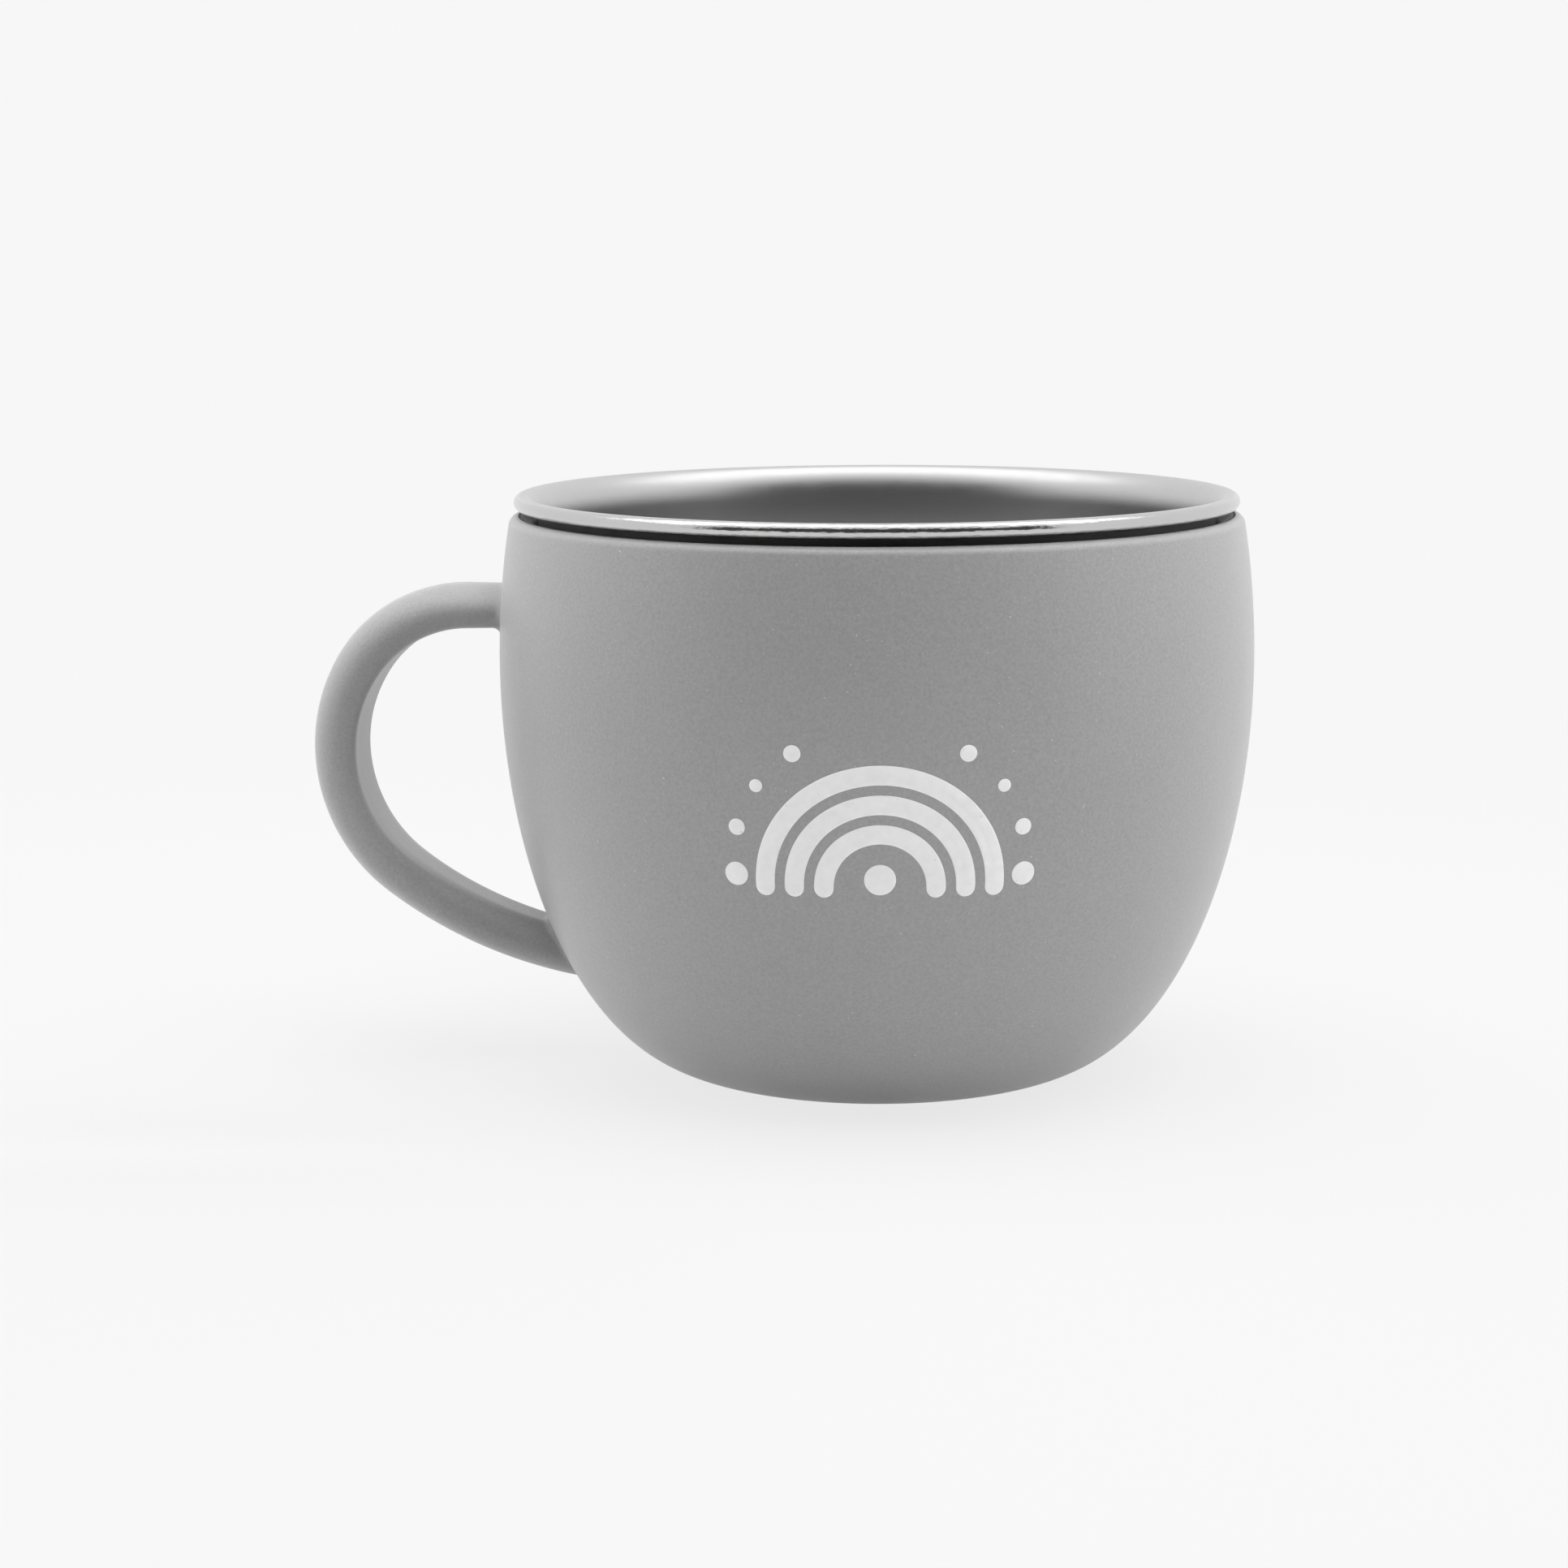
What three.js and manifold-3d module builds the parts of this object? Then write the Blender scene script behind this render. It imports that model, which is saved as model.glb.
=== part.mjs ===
// Baby cup: a deep-drawn steel liner with a curled rim, dropped into a moulded silicone sleeve
// whose bowed handle is part of the same moulding. The liner lifts straight out for washing.
// Millimetres, +Z up, origin at the centre of the foot, handle towards -X.
import * as THREE from 'three';
import { mergeVertices } from 'three/addons/utils/BufferGeometryUtils.js';
import Module from 'manifold-3d';

const wasm = await Module();
wasm.setup();

// Sleeve, outside
const footRadius = 20; // flat disc that the cup stands on
const bellyRadius = 43; // widest ring
const bellyHeight = 47;
const shoulderArc = 98.5; // radius of the wall's curve from the belly up to the lip
const lipHeight = 63.75;
const lipOuterRound = 1.9;
const lipInnerRound = 0.8;

// Sleeve, wall
const lipWall = 3.1; // from the outside of the lip to the cavity
const floorThickness = 3;

// Liner
const sheet = 0.5; // steel thickness
const linerClearance = 0.3; // all round, between liner and sleeve
const rimClearance = 0.65; // between the curl and the sleeve's lip
const curlRadius = 0.86; // outside of the curl's section
const curlTurn = THREE.MathUtils.degToRad(262);
const flareRadius = 2.4; // inside surface, where the wall turns out into the curl
const linerFloorRadius = 17; // where the floor starts to turn up into the wall
const panelRadius = 12.5; // raised stiffening panel in the floor
const panelRise = 0.6;
const panelSlope = 1.2; // width of the sloping edge of that panel

// Handle, moulded on the sleeve
const fingerGap = 17; // from the belly ring to the handle's flat inner face
const handleTop = 53; // height of the bar's middle where it leaves the sleeve
const bendRadius = 15.4; // the bar's middle line: first bend, bow and tail, each running into the next
const bendTurn = THREE.MathUtils.degToRad(57.5);
const bowRadius = 18.3;
const bowTurn = THREE.MathUtils.degToRad(86.3);
const tailRadius = 51.6;
const barWidth = 10;
const barThickness = 5.6;
const barThicknessTop = 4.7; // at the upper root
const barSwell = 25; // length over which it thickens from the upper root
const barEdgeRound = 1.2; // corners of the flat inner face
const rootFillet = 1;
const rootDepth = 1; // how far the bar runs into the sleeve's wall

// Facets
const turnSteps = 64;
const bowlSteps = 11;
const shoulderSteps = 4;
const lipOuterSteps = 5;
const lipInnerSteps = 3;
const flareSteps = 4;
const curlSteps = 7;
const barRings = 26;
const barBackSteps = 12;
const barEdgeSteps = 3;
const filletSteps = 4;

// Sizes that follow from the ones above
const lipRise = Math.sqrt(shoulderArc ** 2 - (lipHeight - lipOuterRound - bellyHeight) ** 2);
const lipRadius = bellyRadius - shoulderArc + lipRise;
const cavityRadius = lipRadius - lipWall;
const linerRadius = cavityRadius - linerClearance;
const linerBottom = floorThickness + linerClearance;
const curlHeight = lipHeight + rimClearance + curlRadius;
const rimTop = curlHeight + curlRadius;
const curlCircle = linerRadius - sheet + flareRadius;

// Outside radius of the sleeve at a height: an ellipse up to the belly, then the shoulder's arc.
function outerRadius(z) {
  const rise = Math.max(z, 0) - bellyHeight;
  if (rise > 0) return bellyRadius - shoulderArc + Math.sqrt(shoulderArc ** 2 - rise ** 2);
  return footRadius + (bellyRadius - footRadius) * Math.sqrt(1 - (rise / bellyHeight) ** 2);
}

// Direction square to the sleeve's outside, at the height and bearing of a point.
function wallNormal(point) {
  const step = 0.01;
  const lean = (outerRadius(point.z + step) - outerRadius(point.z - step)) / (2 * step);
  const round = Math.hypot(point.x, point.y);
  return new THREE.Vector3(point.x / round, point.y / round, -lean).normalize();
}

// Points on an arc or elliptical arc in the (radius, height) plane, both ends included.
function arc(centreR, centreZ, radiusR, radiusZ, from, to, steps) {
  const at = (i) => from + ((to - from) * i) / steps;
  return Array.from({ length: steps + 1 }, (_, i) =>
    new THREE.Vector2(centreR + radiusR * Math.cos(at(i)), centreZ + radiusZ * Math.sin(at(i))));
}

// The rounded bottom of a bowl: a quarter of an ellipse from the floor's edge up to the belly.
function bowlCorner(floorRadius, floorHeight, wallRadius) {
  const width = wallRadius - floorRadius;
  const height = bellyHeight - floorHeight;
  return arc(floorRadius, bellyHeight, width, height, -Math.PI / 2, 0, bowlSteps);
}

// A profile of (radius, height) points turned about the cup's axis.
function turned(profile) {
  return new THREE.LatheGeometry(profile, turnSteps).rotateX(Math.PI / 2);
}

function solidOf(geometry) {
  const bare = geometry.clone().deleteAttribute('normal').deleteAttribute('uv');
  const merged = mergeVertices(bare, 1e-4);
  const vertProperties = new Float32Array(merged.attributes.position.array);
  const triVerts = new Uint32Array(merged.index.array);
  return new wasm.Manifold(new wasm.Mesh({ numProp: 3, vertProperties, triVerts }));
}

function geometryOf(solid) {
  const { vertProperties, triVerts } = solid.getMesh();
  const geometry = new THREE.BufferGeometry();
  geometry.setAttribute('position', new THREE.BufferAttribute(vertProperties, 3));
  geometry.setIndex(new THREE.BufferAttribute(triVerts, 1));
  geometry.computeVertexNormals();
  return geometry;
}

// Sleeve body: outside from the foot up to the lip, then down the cavity to its floor.
function sleeveProfile() {
  const lipCentre = lipHeight - lipOuterRound;
  const shoulderTop = Math.asin((lipCentre - bellyHeight) / shoulderArc);
  const up = Math.PI / 2;
  const shoulder = arc(
    bellyRadius - shoulderArc, bellyHeight, shoulderArc, shoulderArc, 0, shoulderTop, shoulderSteps);
  const outerLip = arc(
    lipRadius - lipOuterRound, lipCentre, lipOuterRound, lipOuterRound, 0, up, lipOuterSteps);
  const innerLip = arc(
    cavityRadius + lipInnerRound, lipHeight - lipInnerRound, lipInnerRound, lipInnerRound,
    up, Math.PI, lipInnerSteps);
  return [
    new THREE.Vector2(0, 0),
    ...bowlCorner(footRadius, 0, bellyRadius),
    ...shoulder.slice(1),
    ...outerLip.slice(1),
    ...innerLip,
    ...bowlCorner(linerFloorRadius, floorThickness, cavityRadius).reverse(),
    new THREE.Vector2(0, floorThickness),
  ];
}

// Middle line of the handle in the (x, z) plane: straight out, then the bend, the bow and the tail.
// Where two arcs meet, their centres and the meeting point lie on one line.
function handleLine() {
  const up = Math.PI / 2;
  const bowStart = up + bendTurn;
  const tailStart = bowStart + bowTurn;
  const towards = (angle) => new THREE.Vector2(Math.cos(angle), Math.sin(angle));
  const bendToBow = towards(bowStart).multiplyScalar(bendRadius - bowRadius);
  const bowToTail = towards(tailStart).multiplyScalar(bowRadius - tailRadius);
  const bowX = bowRadius - (bellyRadius + fingerGap + barThickness / 2);
  const bend = new THREE.Vector2(bowX - bendToBow.x, handleTop - bendRadius);
  const bow = bend.clone().add(bendToBow);
  const tail = bow.clone().add(bowToTail);
  const line = new THREE.Path();
  line.moveTo(-cavityRadius, handleTop);
  line.lineTo(bend.x, handleTop);
  line.absarc(bend.x, bend.y, bendRadius, up, bowStart, false);
  line.absarc(bow.x, bow.y, bowRadius, bowStart, tailStart, false);
  line.absarc(tail.x, tail.y, tailRadius, tailStart, 1.5 * Math.PI, false);
  line.arcLengthDivisions = 2000;
  return line;
}

// D-shaped section of the bar: points across it and outwards from its middle, flat on the inner face.
// Each point has the outline's normal too, which the root fillet follows.
function barSection(thickness) {
  const half = barWidth / 2;
  const flatEdge = half - barEdgeRound;
  const crown = thickness - barEdgeRound;
  const back = arc(0, barEdgeRound, half, crown, 0, Math.PI, barBackSteps);
  const left = arc(-flatEdge, barEdgeRound, barEdgeRound, barEdgeRound, Math.PI, 1.5 * Math.PI, barEdgeSteps);
  const right = arc(flatEdge, barEdgeRound, barEdgeRound, barEdgeRound, -Math.PI / 2, 0, barEdgeSteps);
  const outline = [...back, ...left.slice(1), ...right.slice(0, -1)];
  return outline.map((point, i) => {
    const before = outline.at(i - 1);
    const after = outline[(i + 1) % outline.length];
    const normal = new THREE.Vector2(after.y - before.y, before.x - after.x).normalize();
    return { across: point.x, out: point.y - thickness / 2, normal };
  });
}

// Section point k at a distance along the handle's line: its place, the bar's direction there, and the
// direction square to the bar's surface.
function barPoint(line, k, distance) {
  const swell = THREE.MathUtils.smoothstep(distance, 0, barSwell);
  const { across, out, normal } = barSection(THREE.MathUtils.lerp(barThicknessTop, barThickness, swell))[k];
  const share = distance / line.getLength();
  const middle = line.getPointAt(share);
  const tangent = line.getTangentAt(share);
  const along = new THREE.Vector3(tangent.x, 0, tangent.y);
  const sideways = new THREE.Vector3(0, 1, 0);
  const outward = sideways.clone().cross(along);
  const at = new THREE.Vector3(middle.x, 0, middle.y)
    .addScaledVector(sideways, across)
    .addScaledVector(outward, out);
  const square = sideways.multiplyScalar(normal.x).addScaledVector(outward, normal.y);
  return { at, along, square };
}

// Where section point k goes through the sleeve's outside, between a distance inside it and one outside it.
function crossing(line, k, inside, outside) {
  let [low, high] = [inside, outside];
  for (let i = 0; i < 40; i += 1) {
    const middle = (low + high) / 2;
    const { at } = barPoint(line, k, middle);
    if (Math.hypot(at.x, at.y) < outerRadius(at.z)) low = middle;
    else high = middle;
  }
  return high;
}

// The root fillet at section point k: an arc that touches the bar and the wall, in steps from the bar to the
// wall, then one step into the wall. Each step is a distance along the line and a flare square to the bar.
function rootSteps(line, k, inside, outside) {
  const distance = crossing(line, k, inside, outside);
  const away = Math.sign(outside - inside);
  const { at, along, square } = barPoint(line, k, distance);
  const wall = wallNormal(at);
  const lean = Math.atan2(wall.dot(square), away * wall.dot(along));
  const reach = rootFillet / Math.tan(Math.PI / 4 + lean / 2);
  const turn = Math.PI / 2 - lean;
  const steps = Array.from({ length: filletSteps + 1 }, (_, i) => ({
    distance: distance + away * (reach - rootFillet * Math.sin((turn * i) / filletSteps)),
    flare: rootFillet * (1 - Math.cos((turn * i) / filletSteps)),
  }));
  const { distance: touch, flare } = steps.at(-1);
  return [...steps, { distance: touch - away * rootDepth, flare }];
}

// The handle: rings of section points through the upper root, along the bar and through the lower root.
function handleGeometry() {
  const line = handleLine();
  const length = line.getLength();
  const rows = barSection(barThickness).map((_, k) => {
    const upper = rootSteps(line, k, 0, length / 2).reverse();
    const lower = rootSteps(line, k, length, length / 2);
    const from = upper.at(-1).distance;
    const to = lower[0].distance;
    const bar = Array.from({ length: barRings - 1 }, (_, i) => ({
      distance: THREE.MathUtils.lerp(from, to, (i + 1) / barRings),
      flare: 0,
    }));
    return [...upper, ...bar, ...lower].map(({ distance, flare }) => {
      const { at, square } = barPoint(line, k, distance);
      return at.addScaledVector(square, flare);
    });
  });
  return ringsGeometry(rows[0].map((_, i) => rows.map((row) => row[i])));
}

// A closed tube through rings of equal point counts, each end closed by a fan from its middle.
function ringsGeometry(rings) {
  const count = rings[0].length;
  const points = rings.flat();
  const triangles = [];
  for (let row = 0; row < rings.length - 1; row += 1) {
    for (let k = 0; k < count; k += 1) {
      const a = row * count + k;
      const b = row * count + ((k + 1) % count);
      triangles.push(a, a + count, b, b, a + count, b + count);
    }
  }
  const middleOf = (ring) => ring.reduce((sum, p) => sum.add(p), new THREE.Vector3()).divideScalar(count);
  points.push(middleOf(rings[0]), middleOf(rings.at(-1)));
  const last = (rings.length - 1) * count;
  for (let k = 0; k < count; k += 1) {
    const next = (k + 1) % count;
    triangles.push(points.length - 2, k, next, points.length - 1, last + next, last + k);
  }
  const geometry = new THREE.BufferGeometry().setFromPoints(points);
  return geometry.setIndex(triangles);
}

function sleeveGeometry() {
  return geometryOf(solidOf(turned(sleeveProfile())).add(solidOf(handleGeometry())));
}

// Liner: up the outside, under the flare and round the inside of the curl, then back over the curl and down
// the inside.
function linerProfile() {
  const flareCentre = rimTop - flareRadius;
  const top = Math.PI / 2;
  const floor = (base) => [
    new THREE.Vector2(0, base + panelRise),
    new THREE.Vector2(panelRadius, base + panelRise),
    new THREE.Vector2(panelRadius + panelSlope, base),
  ];
  const flare = (radius) => arc(curlCircle, flareCentre, radius, radius, Math.PI, top, flareSteps);
  const curl = (radius) => arc(curlCircle, curlHeight, radius, radius, top, top - curlTurn, curlSteps);
  const outside = [
    ...floor(linerBottom),
    ...bowlCorner(linerFloorRadius, linerBottom, linerRadius),
    ...flare(flareRadius - sheet),
    ...curl(curlRadius - sheet).slice(1),
  ];
  const inside = [
    ...floor(linerBottom + sheet),
    ...bowlCorner(linerFloorRadius, linerBottom + sheet, linerRadius - sheet),
    ...flare(flareRadius),
    ...curl(curlRadius).slice(1),
  ];
  return [...outside, ...inside.reverse()];
}

const silicone = new THREE.MeshStandardMaterial({ color: 0x9c9c9c, roughness: 0.75, metalness: 0 });
const steel = new THREE.MeshStandardMaterial({ color: 0xc4c4c4, roughness: 0.32, metalness: 1 });

const sleeve = new THREE.Mesh(sleeveGeometry(), silicone);
sleeve.name = 'silicone_sleeve';

const liner = new THREE.Mesh(turned(linerProfile()), steel);
liner.name = 'steel_liner';

const cup = new THREE.Group();
cup.add(sleeve, liner);

export default cup;
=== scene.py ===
from math import asin, cos, degrees, pi, radians, sin, sqrt

import bmesh
import bpy
import numpy as np
from mathutils import Matrix, Vector


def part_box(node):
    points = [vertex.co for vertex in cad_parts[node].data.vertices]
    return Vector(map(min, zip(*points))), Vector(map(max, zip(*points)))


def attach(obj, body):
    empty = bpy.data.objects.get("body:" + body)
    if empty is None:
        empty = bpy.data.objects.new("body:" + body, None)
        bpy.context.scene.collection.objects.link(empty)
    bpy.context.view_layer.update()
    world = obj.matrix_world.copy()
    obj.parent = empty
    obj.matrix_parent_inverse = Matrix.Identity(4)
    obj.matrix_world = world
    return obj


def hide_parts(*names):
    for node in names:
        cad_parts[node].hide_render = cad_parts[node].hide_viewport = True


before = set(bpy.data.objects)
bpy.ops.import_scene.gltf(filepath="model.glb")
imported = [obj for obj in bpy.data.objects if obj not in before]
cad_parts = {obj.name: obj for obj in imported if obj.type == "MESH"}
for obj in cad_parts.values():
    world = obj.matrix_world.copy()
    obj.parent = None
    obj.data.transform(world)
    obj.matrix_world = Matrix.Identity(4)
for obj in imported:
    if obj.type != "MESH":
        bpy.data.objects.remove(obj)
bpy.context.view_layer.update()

# Shapes are written in millimetres with the cup's foot on z = 0, and makePiece turns them into metres
mm = 0.001
sleeveLow, sleeveHigh = [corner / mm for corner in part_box("silicone_sleeve")]
linerLow, linerHigh = [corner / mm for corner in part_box("steel_liner")]


# Mesh helpers

def arcRun(centre, radii, start, end, steps):
    turn = np.radians(np.linspace(start, end, steps + 1))
    return np.stack([centre[0] + radii[0] * np.cos(turn), centre[1] + radii[1] * np.sin(turn)], axis=1)


def joinRuns(*runs):
    points = np.concatenate([np.asarray(run, float) for run in runs])
    step = np.hypot(*np.diff(points, axis=0).T)
    same = 1e-6  # a point shared by two runs is kept once
    return points[np.concatenate([[True], step > same])]


def ease(value, low, high):
    share = np.clip((value - low) / (high - low), 0, 1)
    return share * share * (3 - 2 * share)


def turnOf(at):
    return np.arctan2(at[:, 1], at[:, 0]) % (2 * pi)


def turnProfile(profile, turns, skip=()):
    # the profile starts and ends on the axis
    # row i, column j is point i * turns + j, and the two poles come last
    rows = profile[1:-1]
    angle = np.arange(turns) * 2 * pi / turns
    ring = np.stack([np.cos(angle), np.sin(angle), np.zeros(turns)], axis=1)
    points = rows[:, None, :1] * ring + rows[:, None, 1:] * np.array([0, 0, 1])
    poles = [[0, 0, profile[0][1]], [0, 0, profile[-1][1]]]
    lowPole, highPole = len(rows) * turns, len(rows) * turns + 1
    faces = []
    for j in range(turns):
        k = (j + 1) % turns
        faces.append((lowPole, k, j))
        faces.append((highPole, lowPole - turns + j, lowPole - turns + k))
        for i in range(len(rows) - 1):
            if (i, j) not in skip:
                faces.append((i * turns + j, i * turns + k, (i + 1) * turns + k, (i + 1) * turns + j))
    return np.concatenate([points.reshape(-1, 3), poles]), faces


def numberRings(first, count, rings):
    # point numbers of rings that are added one after another
    return [list(range(first + n * count, first + (n + 1) * count)) for n in range(rings)]


def stitchRings(rings):
    faces = []
    for near, far in zip(rings, rings[1:]):
        for k in range(len(near)):
            n = (k + 1) % len(near)
            faces.append((near[k], near[n], far[n], far[k]))
    return faces


def makePiece(name, points, faces, material):
    mesh = bpy.data.meshes.new(name)
    mesh.from_pydata((np.asarray(points) * mm).tolist(), [], faces)
    shell = bmesh.new()
    shell.from_mesh(mesh)
    bmesh.ops.delete(shell, geom=[v for v in shell.verts if not v.link_faces], context="VERTS")
    bmesh.ops.recalc_face_normals(shell, faces=shell.faces)
    shell.to_mesh(mesh)
    shell.free()
    mesh.polygons.foreach_set("use_smooth", [True] * len(mesh.polygons))
    mesh.materials.append(material)
    piece = bpy.data.objects.new(name, mesh)
    bpy.context.scene.collection.objects.link(piece)
    print(name, len(mesh.polygons), "faces")
    return piece


# Shader helpers

mixSockets = {"FLOAT": (2, 3, 0), "RGBA": (6, 7, 2)}  # first input, second input and output of each kind


def setSocket(tree, socket, value):
    if isinstance(value, bpy.types.NodeSocket):
        tree.links.new(value, socket)
    else:
        socket.default_value = value


def addNode(tree, kind, settings=None, **sockets):
    node = tree.nodes.new("ShaderNode" + kind)
    for key, value in (settings or {}).items():
        setattr(node, key, value)
    for key, value in sockets.items():
        setSocket(tree, node.inputs[key.replace("_", " ")], value)
    return node


def addMath(tree, operation, *values, kind="Math", output="Value"):
    node = addNode(tree, kind, {"operation": operation})
    for socket, value in zip(node.inputs, values):
        setSocket(tree, socket, value)
    return node.outputs[output]


def centred(tree, noise):
    return addMath(tree, "SUBTRACT", noise, 0.5)  # noise swings about a half


def mixBetween(tree, share, first, second, kind="RGBA"):
    one, other, out = mixSockets[kind]
    mix = addNode(tree, "Mix", {"data_type": kind})
    setSocket(tree, mix.inputs[0], share)
    setSocket(tree, mix.inputs[one], first)
    setSocket(tree, mix.inputs[other], second)
    return mix.outputs[out]


def easeBetween(tree, value, low, high):
    smooth = {"interpolation_type": "SMOOTHSTEP"}
    return addNode(tree, "MapRange", smooth, Value=value, From_Min=low, From_Max=high).outputs[0]


def addBump(tree, height, depth, **sockets):
    return addNode(tree, "Bump", Strength=1.0, Distance=depth * mm, Height=height, **sockets).outputs[0]


def newMaterial(name, **constants):
    material = bpy.data.materials.new(name)
    material.use_nodes = True
    tree = material.node_tree
    shader = tree.nodes["Principled BSDF"]
    for key, value in constants.items():
        shader.inputs[key.replace("_", " ")].default_value = value
    return material, tree, shader.inputs


# Node groups that the materials share

def newGroup(name, inputs, outputs):
    tree = bpy.data.node_groups.new(name, "ShaderNodeTree")
    for label, kind, value in inputs:
        socket = tree.interface.new_socket(label, in_out="INPUT", socket_type="NodeSocket" + kind)
        socket.default_value = value
    for label, kind in outputs:
        tree.interface.new_socket(label, in_out="OUTPUT", socket_type="NodeSocket" + kind)
    return tree, tree.nodes.new("NodeGroupInput").outputs, tree.nodes.new("NodeGroupOutput").inputs


def placeGroup(tree, group, **sockets):
    node = tree.nodes.new("ShaderNodeGroup")
    node.node_tree = group
    for key, value in sockets.items():
        setSocket(tree, node.inputs[key], value)
    return node.outputs


def buildToneDrift():
    # slow cloudy change of a colour over the surface
    tree, given, put = newGroup(
        "toneDrift",
        [("Tone", "Color", (0.5, 0.5, 0.5, 1)), ("Spread", "Float", 0.1), ("Fineness", "Float", 60)],
        [("Color", "Color")],
    )
    where = addNode(tree, "TexCoord").outputs["Object"]
    cloud = addNode(tree, "TexNoise", Vector=where, Scale=given["Fineness"], Detail=4.0, Roughness=0.6)
    swing = addMath(tree, "MULTIPLY_ADD", centred(tree, cloud.outputs[0]), given["Spread"], 1)
    tinted = addNode(tree, "VectorMath", {"operation": "SCALE"}, Vector=given["Tone"], Scale=swing)
    tree.links.new(tinted.outputs[0], put["Color"])
    return tree


def buildFineGrain():
    # even moulded or blasted grain, as a height and as a slower swing of the roughness
    tree, given, put = newGroup(
        "fineGrain",
        [("Fineness", "Float", 5000), ("Rough", "Float", 0.5), ("Swing", "Float", 0.05)],
        [("Height", "Float"), ("Roughness", "Float")],
    )
    slower = 24  # times
    where = addNode(tree, "TexCoord").outputs["Object"]
    fine = addNode(tree, "TexNoise", Vector=where, Scale=given["Fineness"], Detail=2.0, Roughness=0.5)
    patches = addMath(tree, "DIVIDE", given["Fineness"], slower)
    broad = addNode(tree, "TexNoise", Vector=where, Scale=patches, Detail=3.0)
    swing = centred(tree, broad.outputs[0])
    rough = addMath(tree, "MULTIPLY_ADD", swing, given["Swing"], given["Rough"])
    tree.links.new(fine.outputs[0], put["Height"])
    tree.links.new(rough, put["Roughness"])
    return tree


def buildLint():
    # sparse specks, bent out of round by some noise
    tree, given, put = newGroup(
        "lint",
        [("Fineness", "Float", 700), ("Radius", "Float", 0.08), ("Share", "Float", 0.4)],
        [("Mask", "Float")],
    )
    bendFineness = 900.0
    bendReach = (0.9 * mm, 0.9 * mm, 0.9 * mm)
    where = addNode(tree, "TexCoord").outputs["Object"]
    bend = addNode(tree, "TexNoise", Vector=where, Scale=bendFineness, Detail=1.0).outputs["Color"]
    place = addMath(tree, "MULTIPLY_ADD", bend, bendReach, where, kind="VectorMath", output="Vector")
    cells = addNode(tree, "TexVoronoi", Vector=place, Scale=given["Fineness"]).outputs
    near = addMath(tree, "LESS_THAN", cells["Distance"], given["Radius"])
    lot = addNode(tree, "SeparateColor", Color=cells["Color"]).outputs[0]
    drawn = addMath(tree, "LESS_THAN", lot, given["Share"])
    tree.links.new(addMath(tree, "MULTIPLY", near, drawn), put["Mask"])
    return tree


def buildTurnedLines():
    # fine lines that run round the axis: rings on a floor, hoops on a wall
    tree, given, put = newGroup(
        "turnedLines",
        [("Fineness", "Float", 9000), ("Length", "Float", 6), ("Detail", "Float", 3)],
        [("Line", "Float"), ("Radius", "Float")],
    )
    leastRadius = 0.01 * mm  # on the axis itself nothing is divided by zero
    where = addNode(tree, "TexCoord").outputs["Object"]
    part = addNode(tree, "SeparateXYZ", Vector=where).outputs
    flat = addNode(tree, "CombineXYZ", X=part["X"], Y=part["Y"]).outputs[0]
    radius = addMath(tree, "MAXIMUM", addMath(tree, "LENGTH", flat, kind="VectorMath"), leastRadius)
    turnX = addMath(tree, "MULTIPLY", addMath(tree, "DIVIDE", part["X"], radius), given["Length"])
    turnY = addMath(tree, "MULTIPLY", addMath(tree, "DIVIDE", part["Y"], radius), given["Length"])
    rise = addMath(tree, "MULTIPLY", part["Z"], given["Fineness"])
    out = addMath(tree, "MULTIPLY", radius, given["Fineness"])
    line = addNode(
        tree, "TexNoise", {"noise_dimensions": "4D"},
        Vector=addNode(tree, "CombineXYZ", X=turnX, Y=turnY, Z=rise).outputs[0],
        W=out, Scale=1.0, Detail=given["Detail"], Roughness=0.6,
    )
    tree.links.new(line.outputs[0], put["Line"])
    tree.links.new(radius, put["Radius"])
    return tree


toneDrift = buildToneDrift()
fineGrain = buildFineGrain()
lint = buildLint()
turnedLines = buildTurnedLines()


# Materials: depths and bands are in millimetres, and a fineness counts the swings in a metre

def placeGrain(tree, finish):
    return placeGroup(
        tree, fineGrain,
        Fineness=finish["grainFineness"], Rough=finish["roughness"], Swing=finish["grainSwing"],
    )


siliconeFinish = {
    "tone": (0.335, 0.335, 0.335, 1),
    "drift": 0.10,
    "driftFineness": 45,
    "mottle": 0.50,
    "mottleFineness": 3000,
    "roughness": 0.40,
    "sheen": 0.12,
    "sheenRoughness": 0.45,
    "ior": 1.60,
    "grainFineness": 3200,
    "grainSwing": 0.12,
    "grainDepth": 0.016,
    "lintTone": (0.55, 0.55, 0.55, 1),
    "lintFineness": 900,
    "lintRadius": 0.065,
    "lintShare": 0.6,
}


def makeSilicone():
    finish = siliconeFinish
    material, tree, shader = newMaterial(
        "moulded_silicone",
        Sheen_Weight=finish["sheen"], Sheen_Roughness=finish["sheenRoughness"], IOR=finish["ior"],
    )
    drift = placeGroup(
        tree, toneDrift,
        Tone=finish["tone"], Spread=finish["drift"], Fineness=finish["driftFineness"],
    )
    mottle = placeGroup(
        tree, toneDrift,
        Tone=drift["Color"], Spread=finish["mottle"], Fineness=finish["mottleFineness"],
    )
    specks = placeGroup(
        tree, lint,
        Fineness=finish["lintFineness"], Radius=finish["lintRadius"], Share=finish["lintShare"],
    )
    tone = mixBetween(tree, specks["Mask"], mottle["Color"], finish["lintTone"])
    tree.links.new(tone, shader["Base Color"])
    grain = placeGrain(tree, finish)
    tree.links.new(grain["Roughness"], shader["Roughness"])
    tree.links.new(addBump(tree, grain["Height"], finish["grainDepth"]), shader["Normal"])
    return material


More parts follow.
